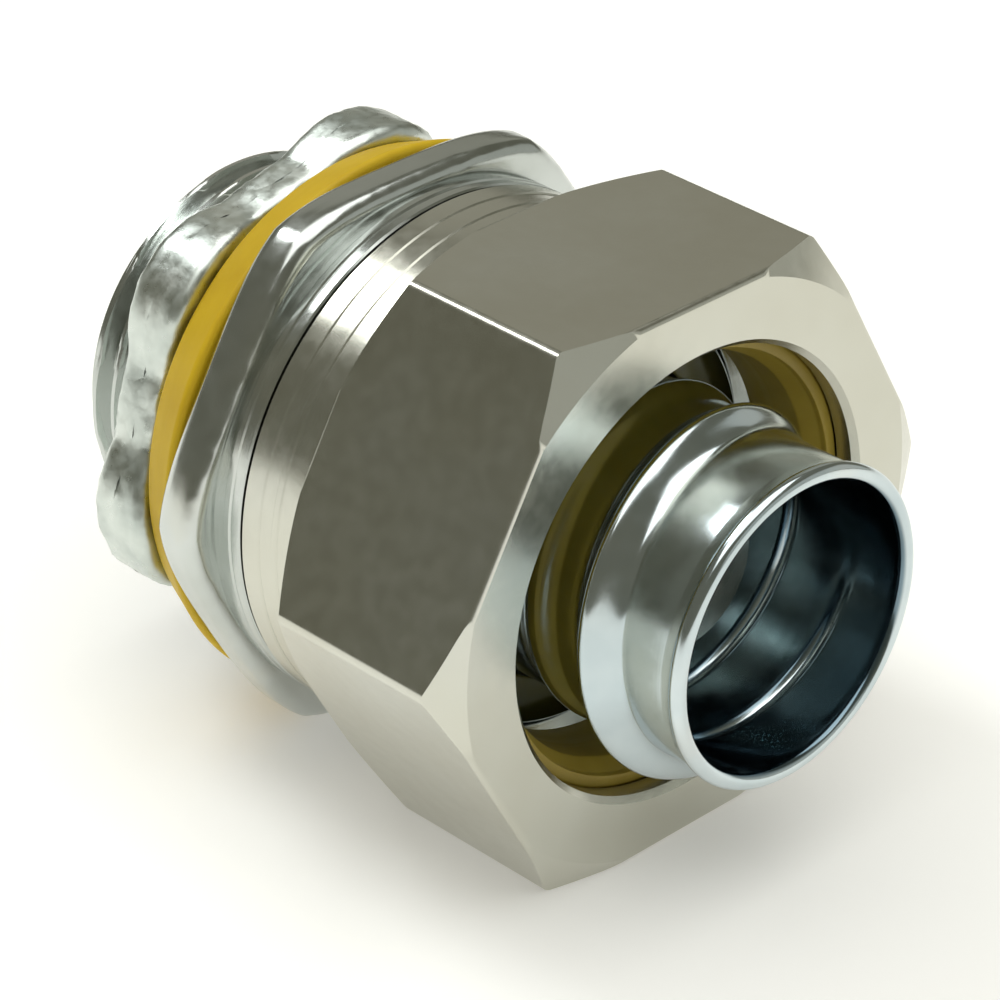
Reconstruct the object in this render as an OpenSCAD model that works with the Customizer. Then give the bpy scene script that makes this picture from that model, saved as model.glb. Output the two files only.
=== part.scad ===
// Liquid-tight flexible conduit connector, straight, 3/4 trade size.
// Axis along +X with the ferrule at the +X end, one flat of the gland nut facing +Z.
// Origin: on the axis, in the plane where the body's flange seats its sealing washer.
// Threads are drawn as rings of the thread's own section, one ring to each pitch.

/* [Conduit] */
// Outside diameter of the flexible conduit that enters the gland
conduit_od = 26.7; // [22:0.1:34]
// Wall of the flexible conduit
conduit_wall = 2.6; // [2.2:0.05:3.2]

/* [Hub] */
// Length of the threaded hub, from the flange seat to its end
hub_length = 15.5; // [12.5:0.1:24]
// Outside diameter of the hub thread
hub_thread_d = 26.66; // [22:0.02:33]
// Pitch of the hub thread
hub_pitch = 1.814; // [1.2:0.002:2.3]
// Depth of the hub thread
hub_thread_depth = 1.1; // [0.6:0.05:1.4]
// Wall of the hub under the thread
hub_wall = 2; // [1.2:0.1:3]

/* [Body] */
// Thickness of the hexagonal flange
flange_thickness = 3.4; // [3:0.1:7]
// Length of the round collar between the flange and the nut
collar_length = 2; // [0.5:0.1:3]
// How far the flange's flats stand inside the nut's flats
flange_inset = 0.15; // [0.05:0.05:1]
// How far the flange's rounded corners stand out past its flats
flange_corner_rise = 1.5; // [0.8:0.1:2.2]
// Round on the flange's edges, at the corners
flange_round = 1.4; // [0.4:0.1:2]
// Gap between the conduit and the wall of the cup, on the radius
cup_clearance = 0.7; // [0.3:0.05:1.2]
// Wall of the cup under its thread
cup_wall = 1.65; // [1.2:0.05:2.5]
// How far the cup's floor stands in front of the flange
cup_floor = 2.1; // [1:0.1:3]
// Pitch of the gland thread
gland_pitch = 1.5875; // [1:0.0025:2]
// Depth of the gland thread
gland_thread_depth = 0.9; // [0.5:0.05:1.2]
// Bevel inside the cup's mouth, where the sealing ring wedges in
cup_bevel = 1.1; // [0.5:0.1:1.4]

/* [Gland nut] */
// Gap between the collar and the back of the nut
nut_gap = 0.2; // [0.15:0.05:1.2]
// Length of the nut's round skirt
skirt_length = 5.6; // [3:0.1:9]
// Wall of the skirt outside its thread
skirt_wall = 1.15; // [0.8:0.05:2]
// Length of the nut's hexagon
nut_hex_length = 16; // [13:0.1:22]
// Step from the skirt out to the nut's flats
flat_step = 1.24; // [0.5:0.02:3]
// Gap between the conduit and the mouth of the nut, on the radius
mouth_clearance = 1.65; // [0.8:0.05:2.4]
// Thickness of the lip around the nut's mouth
lip_thickness = 1.6; // [1:0.1:3]
// Length of the bevel on the nut's corners at the front
front_bevel = 1.4; // [0.5:0.1:2.5]
// Length of the bevel on the nut's corners at the back
back_bevel = 2.4; // [0.5:0.1:3]

/* [Sealing ring] */
// Length of the sealing ring
ring_length = 5.8; // [4.8:0.1:8]
// Gap between the conduit and the ring, on the radius
ring_clearance = 0.2; // [0.1:0.05:0.5]
// Width of the flare inside the ring's front edge
ring_flare = 0.65; // [0.3:0.05:0.9]
// Gap between the back of the ring and the cup's mouth, which tightening closes
ring_gap = 1.3; // [1.3:0.1:3]

/* [Ferrule] */
// Gap between the conduit's bore and the ferrule's rolled rim, on the radius
rim_clearance = 0.05; // [0.02:0.01:0.2]
// How far the rolled rim stands out past the tube
rim_bead = 0.38; // [0.2:0.02:0.6]
// Width of the flat land on the rolled rim
rim_land = 0.7; // [0.4:0.1:1]
// Thickness of the ferrule's sheet
ferrule_sheet = 0.75; // [0.5:0.05:1]
// Length of the ferrule
ferrule_length = 19; // [15.5:0.1:25]
// Distance from the rim back to the first crest of the coarse thread
thread_set_back = 6.8; // [5:0.1:9]
// Pitch of the ferrule's coarse thread
ferrule_pitch = 5.3; // [4:0.1:7]
// Height of the coarse thread over the tube
ferrule_thread_height = 2.05; // [0.8:0.05:2.3]
// Thickness of the ferrule's flange
ferrule_flange = 1; // [0.6:0.1:1.6]
// How far the ferrule's flange stands inside the cup's mouth
ferrule_inset = 0.4; // [0.2:0.1:1]

/* [Sealing washer] */
// Thickness of the sealing washer
washer_thickness = 3.4; // [2:0.1:5]
// Width of the washer's face against the flange, from the thread out
washer_width = 5.45; // [4:0.05:7]
// Taper of the washer's rim, on the radius
washer_taper = 1.05; // [0:0.05:1.5]

/* [Locknut] */
// Thickness of the locknut
locknut_thickness = 4.9; // [3.5:0.1:7]
// Wall of the locknut between its lobes, from the thread out
locknut_wall = 3.2; // [2:0.1:5]
// Height of the lobes over that wall
lobe_height = 2.2; // [1:0.1:4]
// Radius of each lobe's rounded outline
lobe_round = 6.4; // [4:0.1:7]
// Angle of the first lobe from the +Y side
lobe_phase = 15; // [0:1:60]

/* [Fits] */
// Running gap between the hub thread and what turns or slides on it, on the radius
hub_fit = 0.08; // [0.02:0.01:0.1]
// Running gap between the cup thread and the gland nut, on the radius
gland_fit = 0.06; // [0.02:0.01:0.1]
// Running gap between the sealing ring and the gland nut, on the radius
ring_fit = 0.06; // [0.02:0.01:0.1]
// Running gap between the ferrule's flange and the cup, on the radius
ferrule_fit = 0.08; // [0.02:0.01:0.1]
// Gap along the axis between the sealing ring and the shoulder it bears on
face_gap = 0.1; // [0.05:0.01:0.2]

/* [Hidden] */
$fn = 96;

edge = 0.4;             // small bevel that breaks a turned edge
past = 1;               // how far a cut runs on past the face it opens
overlap = 0.5;          // how far solids of one piece run into each other
crest_share = 0.25;     // flat crest of a thread, as a share of its pitch
root_share = 0.2;       // flat root of a thread, as a share of its pitch
thin_wall = 0.1;        // least land left beside a bevel
collar_edge = 0.2;      // bevel on the collar's front edge

// hub
hub_r = hub_thread_d / 2;
hub_root_r = hub_r - hub_thread_depth;
throat_r = hub_root_r - hub_wall;
hub_relief = 1.2;       // plain neck between the hub thread and the flange

// washer and locknut, which both go over the hub thread
hub_hole_r = hub_r + hub_fit;
washer_r = hub_r + washer_width;
locknut_front_x = -washer_thickness;
locknut_back_x = locknut_front_x - locknut_thickness;
locknut_r = hub_r + locknut_wall;
lobe_tip_r = locknut_r + lobe_height;
lobe_count = 6;
lobe_back_bevel = 1.2;
lobe_front_bevel = 0.5;
lobe_stand_off = 0.3;   // the turned outline passes the lobes' tips by this much

// radii of the gland, from the conduit outwards
conduit_r = conduit_od / 2;
cup_r = conduit_r + cup_clearance;
cup_root_r = cup_r + cup_wall;
cup_crest_r = cup_root_r + gland_thread_depth;
nut_thread_r = cup_crest_r + gland_fit;
skirt_r = nut_thread_r + skirt_wall;
nut_apothem = skirt_r + flat_step;
nut_corner_r = nut_apothem / cos(30);
front_stand_off = 0.35; // the front bevel meets the end face this far outside the flats
back_reach = 0.15;      // the back bevel reaches this far into the flats
front_bevel_r = nut_apothem + front_stand_off;
back_bevel_r = nut_apothem - back_reach;
mouth_r = conduit_r + mouth_clearance;
shoulder = nut_thread_r - mouth_r;
cup_mouth_bevel = min(cup_bevel, cup_wall - edge - thin_wall);

// the flange carries the nut's hexagon and covers the washer
flange_apothem = max(nut_apothem - flange_inset, washer_r);
flange_corner_r = flange_apothem + flange_corner_rise;
flange_edge_round = min(flange_round, flange_thickness / 2 - thin_wall);
collar_r = min(skirt_r, flange_apothem - thin_wall);   // in line with the nut's skirt

// places along the axis, from the flange to the front of the nut
cup_floor_x = flange_thickness + cup_floor;
collar_front_x = flange_thickness + collar_length;
nut_back_x = collar_front_x + nut_gap;
hex_back_x = nut_back_x + skirt_length;
nut_front_x = hex_back_x + nut_hex_length;
shoulder_x = nut_front_x - lip_thickness;

// sealing ring
ring_r = nut_thread_r - ring_fit;
ring_bore_r = conduit_r + ring_clearance;
ring_front_x = shoulder_x - face_gap;
ring_back_x = ring_front_x - ring_length;
ring_front_r = ring_r - shoulder;
flare_lip = 0.4;        // straight part of the flare at the ring's front
flare_slope = 1.7;      // length of the flare's taper to its width
flare = min(ring_flare, ring_front_r - ring_bore_r - thin_wall);

// the cup's mouth stands back from the ring by the gap that tightening closes
cup_mouth_x = ring_back_x - ring_gap;
cup_relief = 1.4;       // plain neck between the collar and the gland thread

// ferrule, from the conduit's bore inwards
rim_r = conduit_r - conduit_wall - rim_clearance;
neck_r = rim_r - rim_bead;
tube_r = neck_r - ferrule_sheet;
ferrule_flange_r = cup_r - ferrule_fit;
ferrule_back_x = cup_mouth_x - ferrule_flange - ferrule_inset;
rim_x = ferrule_back_x + ferrule_length;
coarse_turns = 2;
coarse_half = 1.9;      // half the width of a coarse thread at its root
coarse_steps = 10;      // steps across a coarse thread
coarse_hollow = 1.6;    // above 1 the flanks are hollow

// points along an arc about a [radius, x] centre, from one angle to another
function arc(center, radius, from, to, steps = 5) =
    [for (i = [0 : steps]) let (a = from + (to - from) * i / steps) center + radius * [cos(a), sin(a)]];

// points of an outside thread from x0 towards x1, as rings with flat crests
function thread_outline(x0, x1, pitch, root, crest) =
    let (turns = floor((x1 - x0) / pitch), flank = (1 - crest_share - root_share) / 2)
    [for (i = [0 : turns - 1], p = [
        [root, root_share / 2],
        [crest, root_share / 2 + flank],
        [crest, root_share / 2 + flank + crest_share],
        [root, 1 - root_share / 2]
    ]) [p[0], x0 + (i + p[1]) * pitch]];

// section of one coarse thread: hollow flanks that sweep up to a rounded crest
function coarse_thread(x) =
    [for (i = [0 : coarse_steps]) let (t = 2 * i / coarse_steps - 1)
        [neck_r + ferrule_thread_height * pow((1 + cos(180 * t)) / 2, coarse_hollow), x + t * coarse_half]];

// a solid turned about the X axis from an outline of [radius, x] points
module turned(outline) {
    rotate([0, 90, 0]) rotate_extrude() polygon(outline);
}

// a hexagonal prism along X with flats facing +Z and -Z
module hex_prism(apothem, x0, x1) {
    translate([x0, 0, 0]) rotate([0, 90, 0]) rotate([0, 0, 30])
        cylinder(r = apothem / cos(30), h = x1 - x0, $fn = 6);
}

module hub() {
    start_x = -hub_length + edge;
    turned(concat(
        [[0, -hub_length], [hub_root_r - edge, -hub_length], [hub_root_r, start_x]],
        thread_outline(start_x, -hub_relief, hub_pitch, hub_root_r, hub_r),
        [[hub_root_r, -hub_relief], [hub_root_r, overlap], [0, overlap]]
    ));
}

// a hexagon whose corners are rounded off by a turned outline
module flange() {
    round_r = flange_corner_r - flange_edge_round;
    intersection() {
        hex_prism(flange_apothem, 0, flange_thickness);
        turned(concat(
            [[0, 0]],
            arc([round_r, flange_edge_round], flange_edge_round, -90, 0),
            arc([round_r, flange_thickness - flange_edge_round], flange_edge_round, 0, 90),
            [[0, flange_thickness]]
        ));
    }
}

module collar() {
    turned([
        [0, flange_thickness - overlap], [collar_r, flange_thickness - overlap],
        [collar_r, collar_front_x - collar_edge], [collar_r - collar_edge, collar_front_x],
        [0, collar_front_x]
    ]);
}

module cup() {
    start_x = collar_front_x + cup_relief;
    turned(concat(
        [[0, flange_thickness - overlap], [cup_root_r, flange_thickness - overlap]],
        thread_outline(start_x, cup_mouth_x - edge, gland_pitch, cup_root_r, cup_crest_r),
        [[cup_root_r, cup_mouth_x - edge], [cup_root_r - edge, cup_mouth_x], [0, cup_mouth_x]]
    ));
}

// the way for the wires through the hub, and the cup that takes the conduit's end
module body_bore() {
    turned([
        [0, -hub_length - past],
        [throat_r + edge + past, -hub_length - past],
        [throat_r, -hub_length + edge],
        [throat_r, cup_floor_x],
        [cup_r, cup_floor_x],
        [cup_r, cup_mouth_x - cup_mouth_bevel],
        [cup_r + cup_mouth_bevel + past, cup_mouth_x + past],
        [0, cup_mouth_x + past]
    ]);
}

module body() {
    color([0.70, 0.74, 0.76]) difference() {
        union() {
            hub();
            flange();
            collar();
            cup();
        }
        body_bore();
    }
}

// outside of the nut: a round skirt, then a hexagon with its corners bevelled
module nut_blank() {
    turned([
        [0, nut_back_x], [skirt_r - edge, nut_back_x], [skirt_r, nut_back_x + edge],
        [skirt_r, hex_back_x + overlap], [0, hex_back_x + overlap]
    ]);
    intersection() {
        hex_prism(nut_apothem, hex_back_x, nut_front_x);
        turned([
            [0, hex_back_x],
            [back_bevel_r, hex_back_x],
            [nut_corner_r, hex_back_x + back_bevel],
            [nut_corner_r, nut_front_x - front_bevel],
            [front_bevel_r, nut_front_x],
            [0, nut_front_x]
        ]);
    }
}

// inside of the nut: thread bore, shoulder for the sealing ring, and mouth
module nut_bore() {
    turned([
        [0, nut_back_x - past],
        [nut_thread_r + edge + past, nut_back_x - past],
        [nut_thread_r, nut_back_x + edge],
        [nut_thread_r, shoulder_x - shoulder],
        [mouth_r, shoulder_x],
        [mouth_r, nut_front_x - edge],
        [mouth_r + edge + past, nut_front_x + past],
        [0, nut_front_x + past]
    ]);
}

module gland_nut() {
    color([0.66, 0.66, 0.62]) difference() {
        nut_blank();
        nut_bore();
    }
}

// wedge-shaped at both ends, to match the cup's mouth and the nut's shoulder
module sealing_ring() {
    color([0.80, 0.62, 0.12]) turned([
        [ring_bore_r, ring_back_x],
        [ring_r - cup_mouth_bevel, ring_back_x],
        [ring_r, ring_back_x + cup_mouth_bevel],
        [ring_r, ring_front_x - shoulder],
        [ring_front_r, ring_front_x],
        [ring_bore_r + flare, ring_front_x],
        [ring_bore_r + flare, ring_front_x - flare_lip],
        [ring_bore_r, ring_front_x - flare_lip - flare_slope * flare]
    ]);
}

module ferrule() {
    first_crest_x = rim_x - thread_set_back;
    color([0.72, 0.78, 0.80]) difference() {
        turned(concat(
            [
                [0, ferrule_back_x],
                [ferrule_flange_r, ferrule_back_x],
                [ferrule_flange_r, ferrule_back_x + ferrule_flange],
                [neck_r, ferrule_back_x + ferrule_flange]
            ],
            [for (i = [coarse_turns - 1 : -1 : 0]) each coarse_thread(first_crest_x - i * ferrule_pitch)],
            [
                [neck_r, rim_x - rim_land - 2 * edge],
                [rim_r, rim_x - rim_land - edge],
                [rim_r, rim_x - edge],
                [rim_r - edge, rim_x],
                [0, rim_x]
            ]
        ));
        turned([
            [0, ferrule_back_x - past],
            [tube_r, ferrule_back_x - past],
            [tube_r, rim_x - edge],
            [tube_r + edge + past, rim_x + past],
            [0, rim_x + past]
        ]);
    }
}

module sealing_washer() {
    color([0.86, 0.68, 0.10]) turned([
        [hub_hole_r, 0],
        [washer_r - edge, 0],
        [washer_r, -edge],
        [washer_r - washer_taper, -washer_thickness + edge],
        [washer_r - washer_taper - edge, -washer_thickness],
        [hub_hole_r, -washer_thickness]
    ]);
}

// a round wall with rounded lobes; local +X points down once the axis lies along +X
module locknut_blank() {
    translate([locknut_back_x, 0, 0]) rotate([0, 90, 0]) linear_extrude(locknut_thickness) union() {
        circle(r = locknut_r);
        for (i = [0 : lobe_count - 1])
            rotate([0, 0, 90 + lobe_phase + i * 360 / lobe_count])
                translate([lobe_tip_r - lobe_round, 0])
                    circle(r = lobe_round);
    }
}

module locknut() {
    outer_r = lobe_tip_r + lobe_stand_off;
    color([0.68, 0.71, 0.70]) difference() {
        intersection() {
            locknut_blank();
            turned([
                [0, locknut_back_x],
                [lobe_tip_r - lobe_back_bevel, locknut_back_x],
                [outer_r, locknut_back_x + lobe_back_bevel + lobe_stand_off],
                [outer_r, locknut_front_x - lobe_front_bevel - lobe_stand_off],
                [lobe_tip_r - lobe_front_bevel, locknut_front_x],
                [0, locknut_front_x]
            ]);
        }
        turned([
            [0, locknut_back_x - past],
            [hub_hole_r, locknut_back_x - past],
            [hub_hole_r, locknut_front_x + past],
            [0, locknut_front_x + past]
        ]);
    }
}

body();
gland_nut();
sealing_ring();
ferrule();
sealing_washer();
locknut();
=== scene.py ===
import math
import bpy
from mathutils import Matrix, Vector, noise


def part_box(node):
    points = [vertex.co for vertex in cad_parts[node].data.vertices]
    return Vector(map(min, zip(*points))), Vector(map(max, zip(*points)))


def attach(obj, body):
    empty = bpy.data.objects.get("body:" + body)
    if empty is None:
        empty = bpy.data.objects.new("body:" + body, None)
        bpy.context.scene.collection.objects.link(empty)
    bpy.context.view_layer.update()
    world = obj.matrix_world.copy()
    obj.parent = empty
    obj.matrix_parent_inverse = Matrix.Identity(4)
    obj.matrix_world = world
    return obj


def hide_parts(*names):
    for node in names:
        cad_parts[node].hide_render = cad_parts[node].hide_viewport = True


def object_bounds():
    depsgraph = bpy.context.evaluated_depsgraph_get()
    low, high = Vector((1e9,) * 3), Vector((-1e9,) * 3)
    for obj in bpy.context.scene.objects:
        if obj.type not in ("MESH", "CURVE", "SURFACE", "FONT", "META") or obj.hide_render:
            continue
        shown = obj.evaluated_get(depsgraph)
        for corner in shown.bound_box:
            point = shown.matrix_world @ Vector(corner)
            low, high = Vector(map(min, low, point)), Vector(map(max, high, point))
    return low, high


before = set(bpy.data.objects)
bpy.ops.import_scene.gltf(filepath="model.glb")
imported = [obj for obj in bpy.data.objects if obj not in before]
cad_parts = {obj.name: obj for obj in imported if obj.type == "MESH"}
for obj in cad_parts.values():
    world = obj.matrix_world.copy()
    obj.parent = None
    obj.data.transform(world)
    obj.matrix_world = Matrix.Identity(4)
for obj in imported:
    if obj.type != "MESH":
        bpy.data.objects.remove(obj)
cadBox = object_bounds()
mm = 0.001
lathe = 144  # steps round a turned piece


def spanX(node):
    low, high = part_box(node)
    return low[0] / mm, high[0] / mm


def halfHeight(node):
    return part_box(node)[1][2] / mm


def halfWidth(node):
    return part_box(node)[1][1] / mm


def deselectAll():
    if bpy.context.object and bpy.context.object.mode != "OBJECT":
        bpy.ops.object.mode_set(mode="OBJECT")
    bpy.ops.object.select_all(action="DESELECT")


def pick(piece):
    deselectAll()
    piece.select_set(True)
    bpy.context.view_layer.objects.active = piece


def finishEdit():
    bpy.ops.mesh.select_all(action="SELECT")
    bpy.ops.mesh.remove_doubles(threshold=0.002 * mm)
    bpy.ops.mesh.normals_make_consistent(inside=False)
    bpy.ops.object.mode_set(mode="OBJECT")


def arc(x, r, radius, fromDeg, toDeg, steps=5):
    # points [x, r] along an arc, angles from +X towards +r
    points = []
    for i in range(steps + 1):
        a = math.radians(fromDeg + (toDeg - fromDeg) * i / steps)
        points.append((x + radius * math.cos(a), r + radius * math.sin(a)))
    return points


def drawOutline(name, outline):
    # a closed outline of [x, r] points in mm, extruded point by point in the XY plane
    deselectAll()
    bpy.ops.mesh.primitive_plane_add(size=mm, location=(0, 0, 0))
    piece = bpy.context.object
    piece.name = name
    bpy.ops.object.mode_set(mode="EDIT")
    bpy.ops.mesh.select_all(action="SELECT")
    bpy.ops.mesh.merge(type="CENTER")
    points = [Vector((x, r, 0)) * mm for x, r in outline]
    bpy.ops.transform.translate(value=points[0])
    here = points[0]
    for point in points[1:] + points[:1]:
        bpy.ops.mesh.extrude_region_move(TRANSFORM_OT_translate={"value": point - here})
        here = point
    bpy.ops.mesh.select_all(action="SELECT")
    bpy.ops.mesh.remove_doubles(threshold=0.002 * mm)
    return piece


def turnPiece(name, outline, steps=lathe):
    piece = drawOutline(name, outline)
    bpy.ops.mesh.select_all(action="SELECT")
    bpy.ops.mesh.spin(steps=steps, angle=2 * math.pi, center=(0, 0, 0), axis=(1, 0, 0))
    finishEdit()
    return piece


def applyModifier(piece, kind, **settings):
    pick(piece)
    modifier = piece.modifiers.new(kind.lower(), kind)
    for key, value in settings.items():
        setattr(modifier, key, value)
    bpy.ops.object.modifier_apply(modifier=modifier.name)


def combine(piece, tool, operation):
    applyModifier(piece, "BOOLEAN", operation=operation, object=tool, solver="EXACT")
    bpy.data.objects.remove(tool)


def hexPrism(name, apothem, x0, x1):
    deselectAll()
    bpy.ops.mesh.primitive_cylinder_add(vertices=6, radius=apothem / math.cos(math.pi / 6) * mm,
                                        depth=(x1 - x0) * mm, location=(0, 0, 0))
    piece = bpy.context.object
    piece.name = name
    # axis along X, a corner towards +Y and flats towards +Z and -Z
    turn = Matrix.Translation(((x0 + x1) / 2 * mm, 0, 0)) @ Matrix.Rotation(math.pi / 2, 4, "Y")
    piece.data.transform(turn)
    if max(v.co.y for v in piece.data.vertices) < apothem * 1.1 * mm:
        piece.data.transform(Matrix.Rotation(math.pi / 6, 4, "X"))
    return piece


def smooth(piece, angle=32):
    # large faces keep their own normal, so that only the rounds between them turn
    pick(piece)
    bpy.ops.object.shade_smooth_by_angle(angle=math.radians(angle))
    applyModifier(piece, "WEIGHTED_NORMAL", keep_sharp=True, weight=60)


def reshape(piece, change):
    # moves each vertex by a rule on its place along X, its radius and its angle, in mm and degrees
    for vertex in piece.data.vertices:
        x, y, z = vertex.co / mm
        r = math.hypot(y, z)
        newX, newR = change(x, r, math.degrees(math.atan2(z, y)))
        vertex.co = Vector((newX, y * newR / r, z * newR / r)) * mm


def rowsAlong(x0, x1, r, step):
    count = max(2, int(round(abs(x1 - x0) / step)))
    return [(x0 + (x1 - x0) * i / count, r) for i in range(count + 1)]


def ringSteps(x0, places, first, second):
    # a surface that steps from one radius to the other and back, two places to each step
    return [(x0 + along, first if i % 4 in (0, 3) else second) for i, along in enumerate(places)]


def threadGroove(x, deg, pitch):
    # 0 on a crest and 1 at the bottom of a groove, along a right-hand thread
    phase = (x / pitch - deg / 360) % 1
    return max(0, min(1, 2.4 * (1 - abs(2 * phase - 1)) - 0.5))


def softenEdges(piece, width, angle=25, segments=3):
    applyModifier(piece, "BEVEL", width=width * mm, segments=segments, limit_method="ANGLE",
                  angle_limit=math.radians(angle), harden_normals=False)


def finishPiece(piece, material, body, node):
    piece.data.materials.clear()
    piece.data.materials.append(material)
    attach(piece, body)
    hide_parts(node)
    print("piece", piece.name, len(piece.data.polygons), "faces")


def newMaterial(name):
    material = bpy.data.materials.new(name)
    material.use_nodes = True
    tree = material.node_tree
    shader = tree.nodes["Principled BSDF"]
    return material, tree, shader


def addNode(tree, kind, inputs=None, **settings):
    node = tree.nodes.new(kind)
    for key, value in settings.items():
        setattr(node, key, value)
    for key, value in (inputs or {}).items():
        if isinstance(value, bpy.types.NodeSocket):
            tree.links.new(value, node.inputs[key])
        else:
            node.inputs[key].default_value = value
    return node


def ramp(tree, factor, stops):
    node = addNode(tree, "ShaderNodeValToRGB", {"Fac": factor})
    bar = node.color_ramp
    while len(bar.elements) < len(stops):
        bar.elements.new(0.5)
    for element, (place, colour) in zip(bar.elements, stops):
        element.position = place
        element.color = (*colour, 1)
    return node.outputs["Color"]


def spread(tree, value, low, high, fromLow=0.2, fromHigh=0.8):
    node = addNode(tree, "ShaderNodeMapRange", {"Value": value, "From Min": fromLow, "From Max": fromHigh,
                                                "To Min": low, "To Max": high},
                   interpolation_type="SMOOTHERSTEP")
    return node.outputs["Result"]


def turnedMarks(tree, fineness):
    # rings round the axis, as a lathe leaves them: the pattern changes only along X and the radius
    place = addNode(tree, "ShaderNodeTexCoord").outputs["Object"]
    split = addNode(tree, "ShaderNodeSeparateXYZ", {0: place})
    flat = addNode(tree, "ShaderNodeCombineXYZ", {"Y": split.outputs["Y"], "Z": split.outputs["Z"]})
    radius = addNode(tree, "ShaderNodeVectorMath", {0: flat.outputs[0]}, operation="LENGTH")
    rings = addNode(tree, "ShaderNodeCombineXYZ", {"X": split.outputs["X"], "Y": radius.outputs["Value"]})
    marks = addNode(tree, "ShaderNodeTexNoise", {"Vector": rings.outputs[0], "Scale": fineness,
                                                 "Detail": 3.0, "Roughness": 0.6})
    return place, marks.outputs["Fac"], radius.outputs["Value"]


def platedMaterial(values):
    material, tree, shader = newMaterial(values["name"])
    place, marks, radius = turnedMarks(tree, values["markFineness"])
    clouds = addNode(tree, "ShaderNodeTexNoise", {"Vector": place, "Scale": values["cloudScale"],
                                                  "Detail": 4.0})
    grain = addNode(tree, "ShaderNodeTexNoise", {"Vector": place, "Scale": values["grainScale"],
                                                 "Detail": 3.0})
    colour = ramp(tree, clouds.outputs["Fac"], values["tints"])
    if "boreShadeSpan" in values:
        # painted shade darkens the bore towards its smallest radius, and the rolled seams standing out of
        # it stay lighter as painted light
        low, high = values["boreShadeSpan"]
        inside = spread(tree, radius, 1, 0, low * mm, high * mm)
        tint = (*values["boreShadeTint"], 1)
        shadedBore = addNode(tree, "ShaderNodeMixRGB", {"Fac": inside, "Color1": colour, "Color2": tint},
                         blend_type="MULTIPLY")
        colour = shadedBore.outputs["Color"]
    tree.links.new(colour, shader.inputs["Base Color"])
    rough = spread(tree, grain.outputs["Fac"], *values["roughness"])
    tree.links.new(rough, shader.inputs["Roughness"])
    lines = addNode(tree, "ShaderNodeBump", {"Height": marks, "Strength": values["markStrength"],
                                             "Distance": 0.03 * mm})
    bumps = addNode(tree, "ShaderNodeBump", {"Height": grain.outputs["Fac"],
                                             "Strength": values["grainStrength"],
                                             "Distance": values["grainDepth"] * mm,
                                             "Normal": lines.outputs[0]})
    tree.links.new(bumps.outputs[0], shader.inputs["Normal"])
    shader.inputs["Metallic"].default_value = 1.0
    return material


def nylonMaterial(values):
    material, tree, shader = newMaterial(values["name"])
    place, marks, _ = turnedMarks(tree, 900.0)
    clouds = addNode(tree, "ShaderNodeTexNoise", {"Vector": place, "Scale": 160.0, "Detail": 4.0})
    grain = addNode(tree, "ShaderNodeTexNoise", {"Vector": place, "Scale": 3500.0, "Detail": 2.0})
    colour = ramp(tree, clouds.outputs["Fac"], values["tints"])
    tree.links.new(colour, shader.inputs["Base Color"])
    tree.links.new(spread(tree, marks, *values["roughness"]), shader.inputs["Roughness"])
    bumps = addNode(tree, "ShaderNodeBump", {"Height": grain.outputs["Fac"], "Strength": 0.25,
                                             "Distance": 0.04 * mm})
    tree.links.new(bumps.outputs[0], shader.inputs["Normal"])
    shader.inputs["Specular IOR Level"].default_value = 0.3
    shader.inputs["Subsurface Weight"].default_value = 0.12
    shader.inputs["Subsurface Radius"].default_value = (0.0012, 0.0008, 0.0003)
    shader.inputs["Subsurface Scale"].default_value = 1.0
    return material


bodyZinc = platedMaterial({
    "name": "turned_zinc",
    "tints": [(0.3, (0.50, 0.53, 0.50)), (0.55, (0.60, 0.63, 0.61)), (0.8, (0.66, 0.66, 0.58))],
    "roughness": (0.15, 0.24), "cloudScale": 90.0, "grainScale": 700.0, "markFineness": 1500.0,
    "markStrength": 0.25, "grainStrength": 0.06, "grainDepth": 0.02})
nutZinc = platedMaterial({
    "name": "satin_zinc",
    "tints": [(0.3, (0.56, 0.55, 0.47)), (0.55, (0.61, 0.61, 0.54)), (0.8, (0.64, 0.65, 0.61))],
    "roughness": (0.21, 0.27), "cloudScale": 55.0, "grainScale": 900.0, "markFineness": 600.0,
    "markStrength": 0.05, "grainStrength": 0.03, "grainDepth": 0.02})
ferruleZinc = platedMaterial({
    "name": "drawn_zinc",
    "tints": [(0.3, (0.50, 0.58, 0.61)), (0.55, (0.62, 0.69, 0.71)), (0.8, (0.70, 0.72, 0.70))],
    # painted shade in the bore: this radius span and tint darken it, leaving the rolled seams lighter as
    # painted light
    "boreShadeSpan": (9.62, 9.9), "boreShadeTint": (0.28, 0.35, 0.40),
    "roughness": (0.12, 0.20), "cloudScale": 110.0, "grainScale": 700.0, "markFineness": 1300.0,
    "markStrength": 0.12, "grainStrength": 0.05, "grainDepth": 0.02})
castZinc = platedMaterial({
    "name": "cast_galvanised",
    "tints": [(0.3, (0.50, 0.55, 0.52)), (0.55, (0.66, 0.71, 0.67)), (0.8, (0.80, 0.83, 0.79))],
    "roughness": (0.26, 0.42), "cloudScale": 260.0, "grainScale": 1400.0, "markFineness": 500.0,
    "markStrength": 0.05, "grainStrength": 0.35, "grainDepth": 0.06})
washerNylon = nylonMaterial({
    "name": "washer_nylon",
    "tints": [(0.3, (0.53, 0.34, 0.008)), (0.7, (0.66, 0.45, 0.015))], "roughness": (0.48, 0.62)})
ringNylon = nylonMaterial({
    "name": "ring_nylon",
    "tints": [(0.3, (0.34, 0.24, 0.025)), (0.7, (0.43, 0.31, 0.04))], "roughness": (0.40, 0.55)})
print("materials made")


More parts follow.
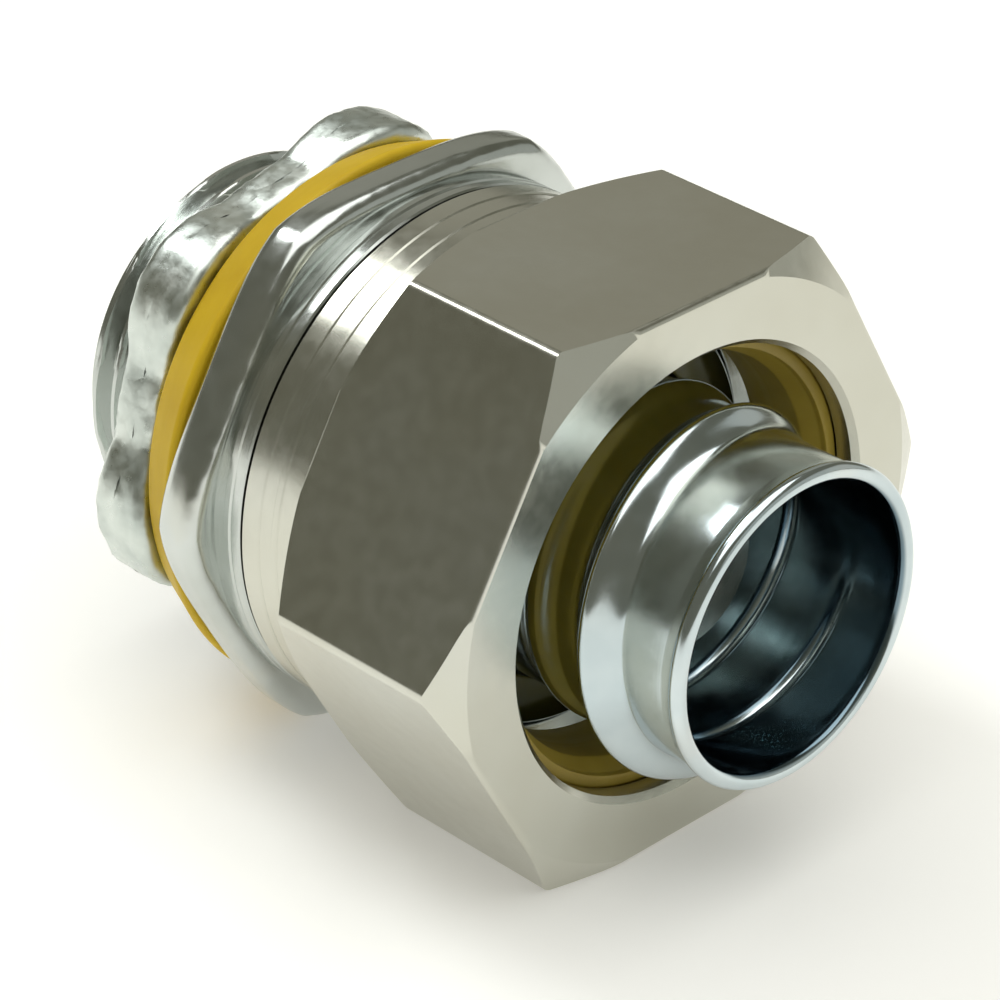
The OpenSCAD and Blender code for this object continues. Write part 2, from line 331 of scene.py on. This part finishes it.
hubBack, cupMouth = spanX("body")
bodyValues = {
    "throat": 10.23, "hubRoot": 12.23, "hubCrest": 13.33, "hubPitch": 1.814, "hubRelief": 1.2,
    "flangeThickness": 3.4, "flangeRound": 1.1, "cornerSoftness": 0.95, "chatter": 0.07,
    "chatterRadius": 22, "chatterFrom": 15, "blankBore": 10,
    "collar": 17.81, "collarFront": 5.4, "collarRing": 0.12, "collarBevel": 0.12, "collarSunk": 0.6,
    "collarSteps": (0.45, 0.6, 1.0, 1.1, 1.25, 1.35), "cupRoot": 15.7, "cupCrest": 16.6,
    "cupBore": 14.05, "cupFloorX": 5.5, "cupRelief": 1.4, "cupPitch": 1.5875, "cupBevel": 1.1, "edge": 0.4,
}


def makeFlange(v):
    # a hexagon whose flats run softly into rounded corners, with a chattered edge on the nut's side
    apothem, corner = halfHeight("body"), halfWidth("body")
    thick, soft, rim = v["flangeThickness"], v["cornerSoftness"], v["flangeRound"]
    outline = [(0, v["blankBore"])] + arc(rim, corner - rim, rim, 180, 90, 6)
    outline += rowsAlong(rim, thick - rim, corner, 0.4)[1:-1]
    outline += arc(thick - rim, corner - rim, rim, 90, 0, 6)
    outline += [(thick, v["collar"] - 0.3), (thick, v["blankBore"])]
    flange = turnPiece("flangeBlank", outline, 240)

    def shape(x, r, deg):
        flat = apothem / math.cos(math.radians((deg + 60) % 60 - 30))
        outer = -soft * math.log(math.exp(-flat / soft) + math.exp(-corner / soft))
        if r > v["collar"]:
            r -= corner - outer
        elif r > v["blankBore"] + 1:
            r = min(r, outer - rim)
        a, away = math.radians(deg), v["chatterRadius"]
        rough = noise.noise(Vector((x, math.cos(a) * away, math.sin(a) * away)))
        chattered = x > thick - rim * 0.6 and r > v["chatterFrom"]
        return x, r + (v["chatter"] * rough if chattered else 0)

    reshape(flange, shape)
    return flange


def makeCollar(v):
    # fine turned rings, with a bevelled front edge in line with the nut's skirt
    back, front, r = v["flangeThickness"], v["collarFront"], v["collar"]
    low, sunk, bevel = r - v["collarRing"], back - v["collarSunk"], v["collarBevel"]
    outline = [(sunk, v["blankBore"]), (sunk, low)] + ringSteps(back, v["collarSteps"], low, r)
    outline += [(front - bevel, r), (front, r - bevel), (front, v["blankBore"])]
    return turnPiece("collarBlank", outline)


def makeBody(v):
    edge, floorX = v["edge"], v["cupFloorX"]
    hubSpan = (hubBack + edge, -v["hubRelief"])
    cupSpan = (v["collarFront"] + v["cupRelief"], cupMouth - edge)
    outline = [(hubBack + edge, v["throat"]), (hubBack, v["throat"] + edge), (hubBack, v["hubRoot"] - edge)]
    outline += rowsAlong(*hubSpan, v["hubRoot"], 0.15) + [(0.5, v["hubRoot"]), (0.5, v["cupRoot"])]
    outline += rowsAlong(*cupSpan, v["cupRoot"], 0.15) + [
        (cupMouth, v["cupRoot"] - edge), (cupMouth, v["cupBore"] + v["cupBevel"]),
        (cupMouth - v["cupBevel"], v["cupBore"]), (floorX, v["cupBore"]), (floorX, v["throat"])]
    core = turnPiece("connector_body", outline)

    def threaded(x, r, deg):
        for span, root, crest, pitch in ((hubSpan, v["hubRoot"], v["hubCrest"], v["hubPitch"]),
                                         (cupSpan, v["cupRoot"], v["cupCrest"], v["cupPitch"])):
            if abs(r - root) < 0.01 and span[0] < x < span[1]:
                fade = min(1, (x - span[0]) / (0.5 * pitch), (span[1] - x) / (0.5 * pitch))
                return x, r + (crest - root) * (1 - threadGroove(x, deg, pitch)) * fade
        return x, r

    reshape(core, threaded)
    combine(core, makeFlange(v), "UNION")
    combine(core, makeCollar(v), "UNION")
    smooth(core, 38)
    finishPiece(core, bodyZinc, "body", "body")


makeBody(bodyValues)
print("body made")


nutBack, nutFront = spanX("gland_nut")
nutValues = {
    "skirt": 17.81, "skirtLength": 5.6, "bore": 16.66, "mouth": 15.0, "lip": 1.6, "edge": 0.4,
    "frontBevel": 1.4, "backBevel": 2.4, "frontFlat": 0.35, "backFlat": 0.15, "edgeRound": 0.45,
    "threadDepth": 0.5, "pitch": 1.5875, "skirtRing": 0.09, "skirtEdge": 0.12,
    "skirtSunk": 0.5, "skirtSteps": (1.5, 1.6, 2.6, 2.7, 3.1, 3.2),
    "skirtBore": 10, "bevelBore": 8, "cutterBore": 5,
}


def makeNut(v):
    apothem, corner = halfHeight("gland_nut"), halfWidth("gland_nut")
    hexBack = nutBack + v["skirtLength"]
    nut = hexPrism("gland_nut_shell", apothem, hexBack, nutFront)
    softenEdges(nut, v["edgeRound"], 25, 4)
    spare = 0.5  # how far a cutting shape stands clear
    over = corner + spare
    slope = (corner - apothem - v["frontFlat"]) / v["frontBevel"]
    backSlope = (corner - apothem + v["backFlat"]) / v["backBevel"]
    bevels = turnPiece("nutBevels", [
        (hexBack, v["bevelBore"]), (hexBack, apothem - v["backFlat"]),
        (hexBack + v["backBevel"] + spare / backSlope, over),
        (nutFront - v["frontBevel"] - spare / slope, over),
        (nutFront, apothem + v["frontFlat"]), (nutFront, v["bevelBore"])])
    combine(nut, bevels, "INTERSECT")
    outer, bevel, sunk = v["skirt"], v["skirtEdge"], hexBack + v["skirtSunk"]
    low = outer - v["skirtRing"]
    outline = [(nutBack, v["skirtBore"]), (nutBack, outer - bevel), (nutBack + bevel, outer)]
    outline += ringSteps(nutBack, v["skirtSteps"], outer, low) + [(sunk, low), (sunk, v["skirtBore"])]
    combine(nut, turnPiece("nutSkirt", outline), "UNION")
    shoulder = v["bore"] - v["mouth"]
    threadEnd = nutFront - v["lip"] - shoulder - v["pitch"]
    outline = [(nutBack - 1, v["cutterBore"]), (nutBack - 1, v["bore"] + v["edge"] + 1)]
    outline += rowsAlong(nutBack + v["edge"], threadEnd, v["bore"], 0.2)
    outline += [(nutFront - v["lip"] - shoulder, v["bore"]), (nutFront - v["lip"], v["mouth"]),
                (nutFront - v["edge"], v["mouth"]), (nutFront + 1, v["mouth"] + v["edge"] + 1),
                (nutFront + 1, v["cutterBore"])]
    bore = turnPiece("nutBore", outline)

    def threaded(x, r, deg):
        inside = abs(r - v["bore"]) < 0.01 and nutBack + v["edge"] < x < threadEnd - 0.01
        fade = min(1, max(0, (threadEnd - x) / v["pitch"]))
        return x, r + (v["threadDepth"] * threadGroove(x, deg, v["pitch"]) * fade if inside else 0)

    reshape(bore, threaded)
    combine(nut, bore, "DIFFERENCE")
    smooth(nut, 22)
    finishPiece(nut, nutZinc, "gland_nut", "gland_nut")


makeNut(nutValues)
print("gland nut made")


ringBack, ringFront = spanX("sealing_ring")
ringValues = {"bore": 13.55, "backBevel": 1.1, "shoulder": 1.66, "flare": 0.65, "flareLip": 0.4}


def makeRing(v):
    outer = halfHeight("sealing_ring")
    front = outer - v["shoulder"]
    ring = turnPiece("compression_ring", [
        (ringBack, v["bore"]), (ringBack, outer - v["backBevel"]), (ringBack + v["backBevel"], outer),
        (ringFront - v["shoulder"], outer), (ringFront, front), (ringFront, v["bore"] + v["flare"]),
        (ringFront - v["flareLip"], v["bore"] + v["flare"]),
        (ringFront - v["flareLip"] - 1.7 * v["flare"], v["bore"])])
    softenEdges(ring, 0.12, 20, 2)
    smooth(ring)
    finishPiece(ring, ringNylon, "ring", "sealing_ring")


makeRing(ringValues)
print("sealing ring made")


ferruleBack, rimFront = spanX("ferrule")
ferruleValues = {
    "bore": 9.57, "neck": 10.32, "rim": 10.7, "rimLand": 0.7, "flangeThickness": 1.0, "crest": 12.37,
    "pitch": 5.3, "turns": 2.2, "runOutX": 31.9, "runOutDeg": 4, "fadeDeg": 70, "half": 2.2,
    "dropAfter": 0.35, "crestDrop": 0.7, "seamHalf": 0.62, "seamDepth": 0.36,
}


def rolledThread(v, x, deg, half, power):
    # height of the rolled thread at a place, 0 to 1, and how many turns back from its run-out that is
    height, turnsBack = 0, 0
    for k in range(math.ceil(v["turns"])):
        t = ((v["runOutDeg"] - deg) % 360) / 360 + k
        away = abs(x - v["runOutX"] + v["pitch"] * t) / half
        if away < 1 and t < v["turns"]:
            ease = min(1, t * 360 / v["fadeDeg"], (v["turns"] - t) * 360 / v["fadeDeg"])
            now = ease * ease * (3 - 2 * ease) * ((1 + math.cos(math.pi * away)) / 2) ** power
            if now > height:
                height, turnsBack = now, t
    return height, turnsBack


def makeFerrule(v):
    outer = halfHeight("ferrule")
    bead = v["rimLand"] / 2 + 0.2
    flangeFront = ferruleBack + v["flangeThickness"]
    outline = rowsAlong(rimFront - 2 * bead, ferruleBack, v["bore"], 0.14)
    outline += [(ferruleBack, outer - 0.2), (ferruleBack + 0.2, outer), (flangeFront - 0.2, outer),
                (flangeFront, outer - 0.2)]
    outline += arc(flangeFront + 0.6, v["neck"] + 0.6, 0.6, 180, 270)
    outline += rowsAlong(flangeFront + 0.8, rimFront - 2 * bead - 0.5, v["neck"], 0.2)
    outline += arc(rimFront - bead, v["rim"] - bead, bead, 150, 0, 8)
    outline += arc(rimFront - bead, v["bore"] + bead, bead, 0, -90, 5)
    ferrule = turnPiece("ferrule_tube", outline, 180)

    def rolled(x, r, deg):
        if abs(r - v["bore"]) < 0.01:
            height, _ = rolledThread(v, x, deg, v["seamHalf"], 1)
            return x, r + v["seamDepth"] * height
        if abs(r - v["neck"]) < 0.01:
            height, turnsBack = rolledThread(v, x, deg, v["half"], 1.6)
            height *= 1 - v["crestDrop"] * max(0, min(1, (turnsBack - v["dropAfter"]) / 0.7))
            return x, r + (v["crest"] - v["neck"]) * height
        return x, r

    reshape(ferrule, rolled)
    smooth(ferrule, 40)
    finishPiece(ferrule, ferruleZinc, "ferrule", "ferrule")


makeFerrule(ferruleValues)
print("ferrule made")


washerBack, washerFront = spanX("sealing_washer")
washerValues = {"bore": 13.41, "taper": 1.05, "round": 0.4}


def makeWasher(v):
    outer = halfHeight("sealing_washer")
    rim = v["round"]
    outline = [(washerBack, v["bore"])]
    outline += arc(washerBack + rim, outer - v["taper"] - rim, rim, 180, 105, 4)
    outline += arc(washerFront - rim, outer - rim, rim, 105, 0, 4)
    outline += [(washerFront, v["bore"])]
    washer = turnPiece("washer_seal", outline)
    smooth(washer, 35)
    finishPiece(washer, washerNylon, "washer", "sealing_washer")


makeWasher(washerValues)
print("sealing washer made")


locknutBack, locknutFront = spanX("locknut")
locknutValues = {
    "bore": 13.41, "valley": 16.53, "tip": 18.73, "lobes": 6, "lobeRound": 6.4, "phase": 15, "blend": 0.35,
    "dish": 1.3, "castRound": 0.8, "lumps": 0.16, "lumpsPerMm": 0.75, "threadDepth": 0.9, "pitch": 1.814,
}


def lobeRadius(v, deg):
    away = (deg - v["phase"] + 180 / v["lobes"]) % (360 / v["lobes"]) - 180 / v["lobes"]
    centre = v["tip"] - v["lobeRound"]
    a = math.radians(away)
    inside = v["lobeRound"] ** 2 - (centre * math.sin(a)) ** 2
    lobe = centre * math.cos(a) + math.sqrt(inside) if inside > 0 else 0
    soft = v["blend"]  # how gently a lobe runs into the valley
    return soft * math.log(math.exp(v["valley"] / soft) + math.exp(lobe / soft)) - soft * math.log(2) * 0.2


def makeLocknut(v):
    # turned as a round ring, then drawn in between the lobes and roughened as a casting
    bore, tip, rim = v["bore"], v["tip"], v["castRound"]
    outline = [(x, bore) for x, _ in rowsAlong(locknutFront, locknutBack, bore, 0.2)]
    outline += [(locknutBack, r) for r, _ in rowsAlong(bore, tip - rim, 0, 0.6)[1:-1]]
    outline += arc(locknutBack + rim, tip - rim, rim, 180, 90, 4)
    outline += rowsAlong(locknutBack + rim, locknutFront - rim, tip, 0.4)[1:-1]
    outline += arc(locknutFront - rim, tip - rim, rim, 90, 0, 4)
    outline += [(locknutFront, r) for r, _ in rowsAlong(tip - rim, bore, 0, 0.6)[1:-1]]
    nut = turnPiece("lobed_locknut", outline, 216)

    def shape(x, r, deg):
        if r < bore + 0.01:
            near = min(x - locknutBack, locknutFront - x)
            return x, r + v["threadDepth"] * threadGroove(x, deg, v["pitch"]) * max(0, min(1, near / 0.3))
        edgeR = min(lobeRadius(v, deg), tip - 0.1)
        out = (r - bore) / (tip - bore)
        newR = bore + (edgeR - bore) * out
        between = 1 - max(0, min(1, (edgeR - v["valley"]) / (tip - v["valley"])))
        newX = x
        if x > (locknutBack + locknutFront) / 2:
            newX -= v["dish"] * between * max(0, min(1, (newR - 14.3) / 1.6))
        a = math.radians(deg)
        place = Vector((x, r * math.cos(a), r * math.sin(a))) * v["lumpsPerMm"]
        lump = v["lumps"] * min(1, out * 3) * (noise.noise(place) + 0.5 * noise.noise(place * 2.3))
        inward = 1 if x < (locknutBack + locknutFront) / 2 else -1
        return newX + inward * abs(lump) * 0.7, newR - abs(lump)

    reshape(nut, shape)
    smooth(nut, 50)
    finishPiece(nut, castZinc, "locknut", "locknut")


makeLocknut(locknutValues)
print("locknut made")


def makeStage():
    # a pale floor with a little light of its own, as on a light table
    deselectAll()
    bpy.ops.mesh.primitive_plane_add(size=3.0, location=(0, 0, cadBox[0][2]))
    floor = bpy.context.object
    floor.name = "floor"
    material, tree, shader = newMaterial("pale_floor")
    shader.inputs["Base Color"].default_value = (0.88, 0.88, 0.86, 1)
    shader.inputs["Roughness"].default_value = 0.8
    shader.inputs["Emission Color"].default_value = (1, 0.98, 0.93, 1)
    shader.inputs["Emission Strength"].default_value = 0.27
    floor.data.materials.append(material)


def aimAt(thing, place, target):
    thing.location = place
    thing.rotation_euler = (Vector(target) - Vector(place)).to_track_quat("-Z", "Y").to_euler()


def addLight(name, place, size, power, colour=(1, 1, 1)):
    lamp = bpy.data.lights.new(name, "AREA")
    lamp.shape = "RECTANGLE"
    lamp.size, lamp.size_y = size
    lamp.energy = power
    lamp.color = colour
    thing = bpy.data.objects.new(name, lamp)
    bpy.context.scene.collection.objects.link(thing)
    aimAt(thing, place, (0.01, 0, 0))


def makeLight():
    # a broad panel overhead with a smaller, brighter key beside it, and dim panels behind and to the right
    world = bpy.data.worlds.new("studio")
    world.use_nodes = True
    background = world.node_tree.nodes["Background"]
    background.inputs["Color"].default_value = (0.150, 0.148, 0.115, 1)
    background.inputs["Strength"].default_value = 1.0
    bpy.context.scene.world = world
    addLight("overhead", (0.10, -0.05, 0.90), (1.1, 1.1), 7.4, (1, 1, 0.98))
    addLight("key", (-0.50, -0.12, 0.65), (0.27, 0.27), 2.0, (0.98, 1, 1))
    addLight("behind", (-0.55, 0.55, 0.40), (0.7, 0.5), 0.22, (1, 0.97, 0.88))
    addLight("right", (0.66, 0.60, 0.26), (1.8, 0.5), 0.95, (0.96, 1, 0.98))
    bpy.context.scene.view_settings.view_transform = "Standard"


cameraValues = {
    "place": (186.59, -177.31, 145.54), "right": (0.70377, 0.71031, 0.01320),
    "up": (-0.36889, 0.34949, 0.86126), "ahead": (-0.60715, 0.61100, -0.50798),
    "lens": 163.97, "sensor": 36, "clipStart": 0.005,
}


def makeCamera(v):
    camera = bpy.data.objects.new("camera", bpy.data.cameras.new("camera"))
    bpy.context.scene.collection.objects.link(camera)
    turn = Matrix((Vector(v["right"]), Vector(v["up"]), -Vector(v["ahead"]))).transposed().to_4x4()
    camera.matrix_world = Matrix.Translation(Vector(v["place"]) * mm) @ turn
    camera.data.lens = v["lens"]
    camera.data.sensor_width = v["sensor"]
    camera.data.clip_start = v["clipStart"]
    bpy.context.scene.camera = camera


makeStage()
makeLight()
makeCamera(cameraValues)
bpy.context.view_layer.update()
print("stage, light and camera made")
